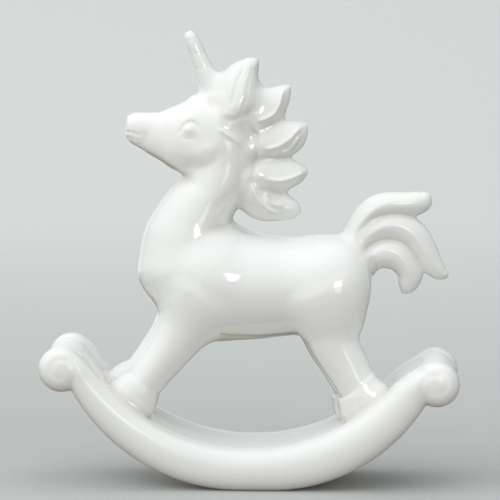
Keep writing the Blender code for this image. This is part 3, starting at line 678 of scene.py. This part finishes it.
def tubesAlong(lines, wander, seed):
    mesh = bpy.data.meshes.new("lines")
    points, edges = [], []
    for line in lines:
        first = len(points)
        points += [tuple(p) for p in line]
        edges += [(k, k + 1) for k in range(first, len(points) - 1)]
    mesh.from_pydata(points, edges, [])
    holder = bpy.data.objects.new("lines", mesh)
    bpy.context.scene.collection.objects.link(holder)
    modifier = holder.modifiers.new("tubes", "NODES")
    modifier.node_group = tubeTree
    sockets = {item.name: item.identifier for item in tubeTree.interface.items_tree
               if item.in_out == "INPUT"}
    modifier[sockets["Wander"]] = wander
    modifier[sockets["Seed"]] = seed
    graph = bpy.context.evaluated_depsgraph_get()
    made = bpy.data.meshes.new_from_object(holder.evaluated_get(graph), depsgraph=graph)
    holder.modifiers.clear()
    bpy.data.meshes.remove(mesh)
    return meshSkin(made)


def pressAlong(lines, depth, width, wander=0.0, seed=tube["seed"]):
    # a groove wherever the skin runs close to the lines
    block, distance = distanceField(tubesAlong(lines, wander, seed))
    distance = np.maximum(distance + tube["radius"], 0)
    skinField[block] += (depth * np.exp(-(distance / width) ** 2)).astype(np.float32)


tuft = {"strands": 26, "sway": 0.35, "swayTurn": 7.3, "depths": (0.42, 0.27, 0.36), "width": 0.55,
        "starts": (0.16, 0.34, 0.44), "front": 0.56, "frontHalf": 0.55, "stops": (0.8, 0.93, 0.9),
        "wander": 2.2, "seeds": (4, 5, 6)}
for layer in range(3):
    strands = []
    for k in range(layer, tuft["strands"], 3):
        angle = math.tau * (k + tuft["sway"] * math.sin(tuft["swayTurn"] * k)) / tuft["strands"]
        # strands that face the horn start above it
        aside = abs(math.sin(angle)) > tuft["frontHalf"]
        start = tuft["starts"][layer] if aside else tuft["front"]
        strands.append(lineOnRings(*ringsAlong(forelock, 6, start, tuft["stops"][layer]), angle))
    pressAlong(strands, tuft["depths"][layer], tuft["width"], tuft["wander"], tuft["seeds"][layer])

# a faint line that winds round the horn
twist = {"turns": 5.0, "start": 0.34, "stop": 0.9, "depth": 0.2, "width": 0.9}
hornRings, hornRun = ringsAlong(horn, 24, twist["start"], twist["stop"])
winding = np.linspace(0, math.tau * twist["turns"], len(hornRings))
pressAlong([lineOnRings(hornRings, hornRun, winding)], twist["depth"], twist["width"])

volute = {"inner": 3.4, "outer": 10.6, "turns": 1.0, "depth": 0.42, "width": 1.5,
          "tighten": 0.45,      # how early the spiral draws in
          "sunk": 0.4, "lift": 2.0, "leadIn": 0.12, "leadLift": 0.3, "fadeFrom": 0.6}


def voluteLine(end, side):
    # a spiral on the outer face of a scroll: out of the crease under the runner, over the top, in
    centre = scrollCentre(end)
    crease = undersidePoint(end, creaseTurn(end))[0] - centre
    first = math.atan2(crease[1], crease[0])
    share = np.linspace(0, 1, 60)
    angle = first - end * math.tau * volute["turns"] * share
    radius = volute["outer"] + (volute["inner"] - volute["outer"]) * share ** volute["tighten"]
    leadIn = np.clip(volute["leadIn"] - share, 0, 1) / volute["leadIn"] * volute["leadLift"]
    fade = np.clip(share - volute["fadeFrom"], 0, 1) / (1 - volute["fadeFrom"])
    off = 0.5 * rocker["scrollWidth"] - volute["sunk"] + volute["lift"] * (leadIn + fade)
    return np.stack([centre[0] + radius * np.cos(angle), side + math.copysign(1, side) * off,
                     centre[1] + radius * np.sin(angle)], axis=1)


pressAlong([voluteLine(end, half * rocker["spacing"]) for end in (-1, 1)
            for half in sideOf.values()], volute["depth"], volute["width"])

print("stage 9: cutting the pieces out of the skin")

nearest = emptyGrid()
second = emptyGrid()
owner = np.full(gridCount, -1, np.int8)
names = list(fields)
for index, name in enumerate(names):
    block, field = fields[name]
    closer = field < nearest[block]
    second[block] = np.where(closer, nearest[block], np.minimum(second[block], field))
    owner[block] = np.where(closer, index, owner[block])
    nearest[block] = np.minimum(nearest[block], field)


def blurred(field, radius):
    # Gaussian blur, the radius in voxels
    taps = np.arange(-math.ceil(3 * radius), math.ceil(3 * radius) + 1)
    weights = np.exp(-0.5 * (taps / radius) ** 2)
    weights /= weights.sum()
    for axis in range(3):
        made = np.zeros_like(field)
        for tap, weight in zip(taps, weights):
            source = [slice(None)] * 3
            target = [slice(None)] * 3
            if tap < 0:
                source[axis], target[axis] = slice(0, tap), slice(-tap, None)
            elif tap > 0:
                source[axis], target[axis] = slice(tap, None), slice(0, -tap)
            made[tuple(target)] += np.float32(weight) * field[tuple(source)]
        field = made
    return field


skinField = blurred(skinField, glaze["soften"])
pooled = skinField - blurred(skinField, glaze["poolReach"] / voxel)
# nothing below the table, and flat outer faces on the scrolls
floorCut = (glaze["margin"] - gridLine(2, 0, gridCount[2])).astype(np.float32)
scrollFace = 0.5 * (rocker["spacing"] + rocker["scrollWidth"]) - glaze["margin"]
faceCut = (np.abs(gridLine(1, 0, gridCount[1])) - scrollFace).astype(np.float32)
skinField = np.maximum(skinField, np.maximum(floorCut[None, None, :], faceCut[None, :, None]))


def sampled(field, points):
    # field values at points given in voxels of the whole grid
    base = np.clip(np.floor(points).astype(int), 0, np.array(field.shape) - 2)
    part = (points - base).astype(np.float32)
    value = np.zeros(len(points), np.float32)
    for corner in range(8):
        step = np.array([(corner >> k) & 1 for k in range(3)])
        weight = np.prod(np.where(step, part, 1 - part), axis=1)
        at = base + step
        value += weight * field[at[:, 0], at[:, 1], at[:, 2]]
    return value


def resampled(field, step):
    # the same field on a grid whose step is that many voxels
    lines = [step * np.arange(int((count - 1) / step) + 1) for count in field.shape]
    spots = np.stack(np.meshgrid(*lines, indexing="ij"), axis=-1).reshape(-1, 3)
    return sampled(field, spots).reshape([len(line) for line in lines])


# painted shade: darker lines along the underside of the barrel and under the jaw
undersideShades = {
    "trunk": {"width": 0.85, "path": [(-18.0, 74.8), (-9.0, 73.6), (3.0, 72.9), (14.0, 73.3),
                                      (22.0, 74.3), (29.0, 77.0)]},
    "head": {"width": 1.3, "path": [(-58.5, 165.0), (-54.0, 162.4), (-46.0, 158.6),
                                    (-38.5, 154.4), (-33.0, 151.6)]},
}
shadeFade = 5.0


def undersideShade(name, places):
    path = np.array(undersideShades[name]["path"])
    x, z = places[:, 0] / mm, places[:, 2] / mm
    off = z - np.interp(x, path[:, 0], path[:, 1])
    ends = np.minimum(x - path[0, 0], path[-1, 0] - x)
    return np.exp(-(off / undersideShades[name]["width"]) ** 2) * smoothStep(ends / shadeFade)


def cutPiece(index, name):
    block, field = fields[name]
    other = np.where(owner[block] == index, second[block], nearest[block])
    lead = field - other
    shell = skinField[block] + glaze["sink"] * smoothStep(lead / glaze["sinkRun"] + 0.5)
    piece = np.maximum(shell, 0.5 * (lead - glaze["overlap"])).astype(np.float32)
    piece = np.pad(piece, 1, constant_values=band)
    step = glaze["plainStep"] if name in glaze["plain"] else 1.0
    if step > 1:
        piece = resampled(piece, step)
    grid = openvdb.FloatGrid(background=band)
    grid.copyFromArray(np.ascontiguousarray(piece))
    points, quads = grid.convertToQuads(0.0)
    low = np.array([s.start for s in block]) - 1
    voxels = points.astype(np.float64) * step + low
    places = (voxels * voxel + gridLow) * mm
    a, b, c, d = (places[quads[:, k]] for k in range(4))
    if np.sum(a * (np.cross(b, c) + np.cross(c, d))) < 0:      # faces point outward
        quads = quads[:, ::-1]
    mesh = bpy.data.meshes.new(name)
    mesh.vertices.add(len(places))
    mesh.vertices.foreach_set("co", places.astype(np.float32).ravel())
    mesh.loops.add(quads.size)
    mesh.loops.foreach_set("vertex_index", quads.astype(np.int32).ravel())
    mesh.polygons.add(len(quads))
    mesh.polygons.foreach_set("loop_start", np.arange(0, quads.size, 4, dtype=np.int32))
    mesh.update(calc_edges=True)
    mesh.validate()
    mesh.shade_smooth()
    pool = mesh.attributes.new("glazePool", "FLOAT", "POINT")
    pool.data.foreach_set("value", np.clip(sampled(pooled, voxels) * glaze["poolGain"], 0, 1))
    # painted shade under the barrel and the jaw, kept as a point attribute
    if name in undersideShades:
        run = mesh.attributes.new("undersideShade", "FLOAT", "POINT")
        run.data.foreach_set("value", undersideShade(name, places))
    piece = bpy.data.objects.new(f"glazed_{name}", mesh)
    bpy.context.scene.collection.objects.link(piece)
    return piece


pieces = {name: cutPiece(index, name) for index, name in enumerate(names)}
print("triangles", {name: 2 * len(piece.data.polygons) for name, piece in pieces.items()})
del nearest, second, owner, body

print("stage 10: glazes")


def feed(tree, source, socket):
    # a link, or else a plain value
    if isinstance(source, bpy.types.NodeSocket):
        tree.links.new(source, socket)
    else:
        socket.default_value = source


def mapped(tree, source, low, high, first=0.0, last=1.0):
    node = addNode(tree, "ShaderNodeMapRange")
    for name, value in (("Value", source), ("From Min", low), ("From Max", high),
                        ("To Min", first), ("To Max", last)):
        feed(tree, value, node.inputs[name])
    return node.outputs["Result"]


def mixed(tree, share, first, last):
    node = addNode(tree, "ShaderNodeMix", data_type="RGBA")
    for name, source in (("Factor_Float", share), ("A_Color", first), ("B_Color", last)):
        feed(tree, source, next(s for s in node.inputs if s.identifier == name))
    return next(s for s in node.outputs if s.identifier == "Result_Color")


def combined(tree, operation, first, second):
    node = addNode(tree, "ShaderNodeMath", operation=operation)
    feed(tree, first, node.inputs[0])
    feed(tree, second, node.inputs[1])
    return node.outputs[0]


patterns = {"drift": (28.0, 2.0), "specks": (900.0, 1.0), "ripple": (70.0, 1.0)}    # scale, detail
tints = {     # range of what sets the tint, its share at both ends, tone
    "drift": ((0.35, 0.7, 0.0, 0.30), (0.79, 0.82, 0.81, 1)),
    # painted light: lighter and warmer on faces that look down
    "paintedUnderLight": ((-0.5, -0.8, 0.0, 0.8), (0.92, 0.90, 0.85, 1)),
    # painted shade: the dark lines under the barrel and under the jaw
    "run": ((0.0, 1.0, 0.0, 0.75), (0.50, 0.45, 0.36, 1)),
    "pinhole": ((0.035, 0.06, 0.16, 0.0), (0.62, 0.58, 0.50, 1)),
}
surface = {"pinholeScale": 120.0, "sheen": (0.3, 0.7, 0.07, 0.13), "rippleStrength": 0.5,
           "rippleHeight": 0.0003, "glassiness": 1.52, "coatGlassiness": 1.5,
           "coatRoughness": 0.03, "coat": 0.6, "coatLostToSatin": 5.0}


def glazeGroup():
    # tint, roughness and normal that all the glazes share
    tree = bpy.data.node_groups.new("porcelain glaze", "ShaderNodeTree")
    addSockets(tree, "INPUT", ("White", "Color", (0.84, 0.85, 0.84, 1)), ("Satin", "Float", 0.0),
               ("Pooled", "Color", (0.71, 0.69, 0.62, 1)), ("Pooling", "Float", 0.8))
    addSockets(tree, "OUTPUT", ("Color", "Color", None), ("Roughness", "Float", None),
               ("Normal", "Vector", None))
    link = tree.links.new
    given = addNode(tree, "NodeGroupInput").outputs
    result = addNode(tree, "NodeGroupOutput").inputs
    place = addNode(tree, "ShaderNodeTexCoord").outputs["Object"]

    def patterned(name):
        node = addNode(tree, "ShaderNodeTexNoise")
        node.inputs["Scale"].default_value, node.inputs["Detail"].default_value = patterns[name]
        link(place, node.inputs["Vector"])
        return node.outputs["Fac"]

    def marked(name):
        return addNode(tree, "ShaderNodeAttribute", attribute_name=name).outputs["Fac"]

    def tinted(below, mask, name):
        span, tone = tints[name]
        return mixed(tree, mapped(tree, mask, *span), below, tone)

    color = tinted(given["White"], patterned("drift"), "drift")
    share = combined(tree, "MULTIPLY", marked("glazePool"), given["Pooling"])
    color = mixed(tree, share, color, given["Pooled"])
    # painted light: a lighter, warmer tone on the surfaces that face down, for light thrown up
    # from below
    facing = addNode(tree, "ShaderNodeNewGeometry")
    upward = addNode(tree, "ShaderNodeSeparateXYZ")
    link(facing.outputs["Normal"], upward.inputs["Vector"])
    color = tinted(color, upward.outputs["Z"], "paintedUnderLight")
    # painted shade along the underside of the barrel and the jaw
    color = tinted(color, marked("undersideShade"), "run")
    pinholes = addNode(tree, "ShaderNodeTexVoronoi")
    pinholes.inputs["Scale"].default_value = surface["pinholeScale"]
    link(place, pinholes.inputs["Vector"])
    link(tinted(color, pinholes.outputs["Distance"], "pinhole"), result["Color"])
    sheen = mapped(tree, patterned("specks"), *surface["sheen"])
    link(combined(tree, "ADD", sheen, given["Satin"]), result["Roughness"])
    wave = addNode(tree, "ShaderNodeBump")
    wave.inputs["Strength"].default_value = surface["rippleStrength"]
    wave.inputs["Distance"].default_value = surface["rippleHeight"]
    link(patterned("ripple"), wave.inputs["Height"])
    link(wave.outputs["Normal"], result["Normal"])
    return tree


glazeTree = glazeGroup()


def glazeMaterial(title, white, pooling, satin):
    material = bpy.data.materials.new(title)
    material.use_nodes = True
    tree = material.node_tree
    shader = tree.nodes["Principled BSDF"].inputs
    group = addNode(tree, "ShaderNodeGroup", node_tree=glazeTree)
    for name, value in (("White", (*white, 1)), ("Pooling", pooling), ("Satin", satin)):
        group.inputs[name].default_value = value
    for name, wanted in (("Color", "Base Color"), ("Roughness", "Roughness"),
                         ("Normal", "Normal")):
        tree.links.new(group.outputs[name], shader[wanted])
    coat = max(surface["coat"] - surface["coatLostToSatin"] * satin, 0.0)
    for name, value in (("IOR", surface["glassiness"]), ("Coat IOR", surface["coatGlassiness"]),
                        ("Coat Roughness", surface["coatRoughness"] + satin),
                        ("Coat Weight", coat)):
        shader[name].default_value = value
    return material


# white, how much glaze pools, how satin it is, and the pieces that wear it
glazes = {
    "body_glaze": ((0.84, 0.855, 0.845), 0.75, 0.0, ["trunk", "neck"]),
    # painted light: the head's white is lighter than the body's, for the light that falls on it
    "head_glaze": ((0.89, 0.90, 0.89), 0.8, 0.05, ["head"]),
    "horn_glaze": ((0.85, 0.86, 0.85), 0.7, 0.04, ["horn"]),
    # painted shade: the mane's white, which the forelock wears too, is greyer than the body's, for
    # the shade in it
    "mane_glaze": ((0.82, 0.836, 0.816), 0.6, 0.0, ["forelock", *mane]),
    "tail_glaze": ((0.82, 0.835, 0.82), 0.6, 0.06, list(tail)),
    "leg_glaze": ((0.84, 0.855, 0.845), 0.8, 0.02, named("_leg_")),
    "hoof_glaze": ((0.84, 0.85, 0.84), 0.9, 0.0, named("_hoof_")),
    "rocker_glaze": ((0.84, 0.855, 0.845), 0.4, 0.14, [*named("runner_"), "deck"]),
    "scroll_glaze": ((0.83, 0.84, 0.83), 0.6, 0.14, named("scroll_")),
}
for slot, (white, pooling, satin, wearers) in glazes.items():
    material = glazeMaterial(slot.replace("_", " "), white, pooling, satin)
    for name in wearers:
        pieces[name].data.materials.append(material)
        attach(pieces[name], "root")
        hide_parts(name)

print("stage 11: table, backdrop, camera and light")

paper = {
    "halfWidth": 2.4, "front": -2.2, "back": 0.9, "bend": 1.4, "height": 2.4,
    # near, far and fade: the tone that the camera sees, painted darker near and paler far off, a
    # painted falloff of light
    "near": (0.485, 0.505, 0.498, 1), "far": (0.70, 0.73, 0.722, 1), "fade": (0.15, 1.1),
    "mirroredDark": (0.24, 0.22, 0.19, 1), "mirroredPale": (0.93, 0.95, 0.945, 1),
    "paleBehind": (0.4, 0.9), "paleLeft": (0.55, 0.25),
}


def paperMaterial():
    # paler to the camera than the warm grey that the table gives back to the porcelain; what the
    # porcelain mirrors is bright behind it and dark to the far right; clear when seen from behind
    material = bpy.data.materials.new("pale grey paper")
    material.use_nodes = True
    tree = material.node_tree
    link = tree.links.new
    shader = tree.nodes["Principled BSDF"]
    shader.inputs["Roughness"].default_value = 0.8
    shader.inputs["Specular IOR Level"].default_value = 0.15
    rays = addNode(tree, "ShaderNodeLightPath")
    spot = addNode(tree, "ShaderNodeNewGeometry")
    split = addNode(tree, "ShaderNodeSeparateXYZ")
    link(spot.outputs["Position"], split.inputs["Vector"])
    x, y = split.outputs["X"], split.outputs["Y"]
    pale = combined(tree, "MULTIPLY", mapped(tree, y, *paper["paleBehind"]),
                    mapped(tree, x, *paper["paleLeft"]))
    mirrored = mixed(tree, pale, paper["mirroredDark"], paper["mirroredPale"])
    # painted falloff of light: darker near the camera, paler far off
    seenPaintedFalloff = mixed(tree, mapped(tree, y, *paper["fade"]), paper["near"], paper["far"])
    link(mixed(tree, rays.outputs["Is Camera Ray"], mirrored, seenPaintedFalloff), shader.inputs["Base Color"])
    clear = addNode(tree, "ShaderNodeBsdfTransparent")
    oneSided = addNode(tree, "ShaderNodeMixShader")
    link(spot.outputs["Backfacing"], oneSided.inputs["Fac"])
    link(shader.outputs["BSDF"], oneSided.inputs[1])
    link(clear.outputs["BSDF"], oneSided.inputs[2])
    link(oneSided.outputs["Shader"], tree.nodes["Material Output"].inputs["Surface"])
    return material


def sweepBackdrop():
    # table top that bends up into the backdrop
    bend = paper["bend"]
    profile = [(paper["front"], 0.0), (paper["back"], 0.0)]
    profile += [(paper["back"] + bend * math.sin(a), bend * (1 - math.cos(a)))
                for a in np.linspace(0, math.pi / 2, 17)[1:]]
    profile.append((paper["back"] + bend, paper["height"]))
    points = [(s * paper["halfWidth"], y, z) for y, z in profile for s in (-1, 1)]
    faces = [(2 * k, 2 * k + 1, 2 * k + 3, 2 * k + 2) for k in range(len(profile) - 1)]
    mesh = bpy.data.meshes.new("backdrop")
    mesh.from_pydata(points, [], faces)
    mesh.shade_smooth()
    mesh.materials.append(paperMaterial())
    backdrop = bpy.data.objects.new("backdrop", mesh)
    bpy.context.scene.collection.objects.link(backdrop)


sweepBackdrop()

view = {"target": (-0.0005, 0.0, 0.1133), "distance": 1.41, "turn": 2.7, "rise": 6.3,
        "lens": 209.5}
target = Vector(view["target"])
turn, rise = math.radians(view["turn"]), math.radians(view["rise"])
cameraData = bpy.data.cameras.new("camera")
cameraData.lens = view["lens"]
cameraData.sensor_width = 36.0
cameraData.clip_start = 0.05
camera = bpy.data.objects.new("camera", cameraData)
camera.location = target + view["distance"] * Vector(
    (math.sin(turn) * math.cos(rise), -math.cos(turn) * math.cos(rise), math.sin(rise)))
camera.rotation_euler = (target - camera.location).to_track_quat("-Z", "Y").to_euler()
bpy.context.scene.collection.objects.link(camera)
bpy.context.scene.camera = camera


lamps = {       # place, width and height, watts, and whether the glaze mirrors it
    "window light": ((-1.35, -0.72, 1.20), (1.7, 1.7), 11.8, False),
    "top light": ((0.50, 0.05, 1.45), (1.2, 1.2), 3.4, False),
    "fill light": ((1.05, -1.0, 0.42), (0.9, 0.9), 1.25, False),
    "front softbox": ((0.36, -0.95, 0.38), (0.30, 0.24), 1.4, True),
    "low pane": ((0.40, -0.95, 0.13), (0.24, 0.20), 0.28, True),
}
aim = Vector((0, 0, 0.1))
for name, (place, size, power, mirrored) in lamps.items():
    lampData = bpy.data.lights.new(name, "AREA")
    lampData.shape = "RECTANGLE"
    lampData.size, lampData.size_y = size
    lampData.energy = power
    lamp = bpy.data.objects.new(name, lampData)
    lamp.visible_glossy = mirrored
    lamp.location = place
    lamp.rotation_euler = (aim - Vector(place)).to_track_quat("-Z", "Y").to_euler()
    bpy.context.scene.collection.objects.link(lamp)

# brighter above, to the left and towards the camera, darker below, to the right and behind
sky = {"slant": (-0.45, -0.45, 0.77), "strength": 0.95,
       "stops": {0: (0.03, 0.03, 0.03, 1), 0.5: (0.36, 0.37, 0.37, 1), 1: (1.15, 1.17, 1.16, 1)}}
world = bpy.data.worlds.new("soft studio")
bpy.context.scene.world = world
world.use_nodes = True
tree = world.node_tree
background = tree.nodes["Background"]
background.inputs["Strength"].default_value = sky["strength"]
slant = addNode(tree, "ShaderNodeVectorMath", operation="DOT_PRODUCT")
slant.inputs[1].default_value = sky["slant"]
tree.links.new(addNode(tree, "ShaderNodeTexCoord").outputs["Generated"], slant.inputs[0])
ramp = addNode(tree, "ShaderNodeValToRGB")
stops = ramp.color_ramp.elements
stops.new(0.5)
for stop, (position, tone) in zip(stops, sky["stops"].items()):
    stop.position = position
    stop.color = tone
tree.links.new(mapped(tree, slant.outputs["Value"], -1.0, 1.0), ramp.inputs["Fac"])
tree.links.new(ramp.outputs["Color"], background.inputs["Color"])

bpy.context.scene.view_settings.view_transform = "Standard"
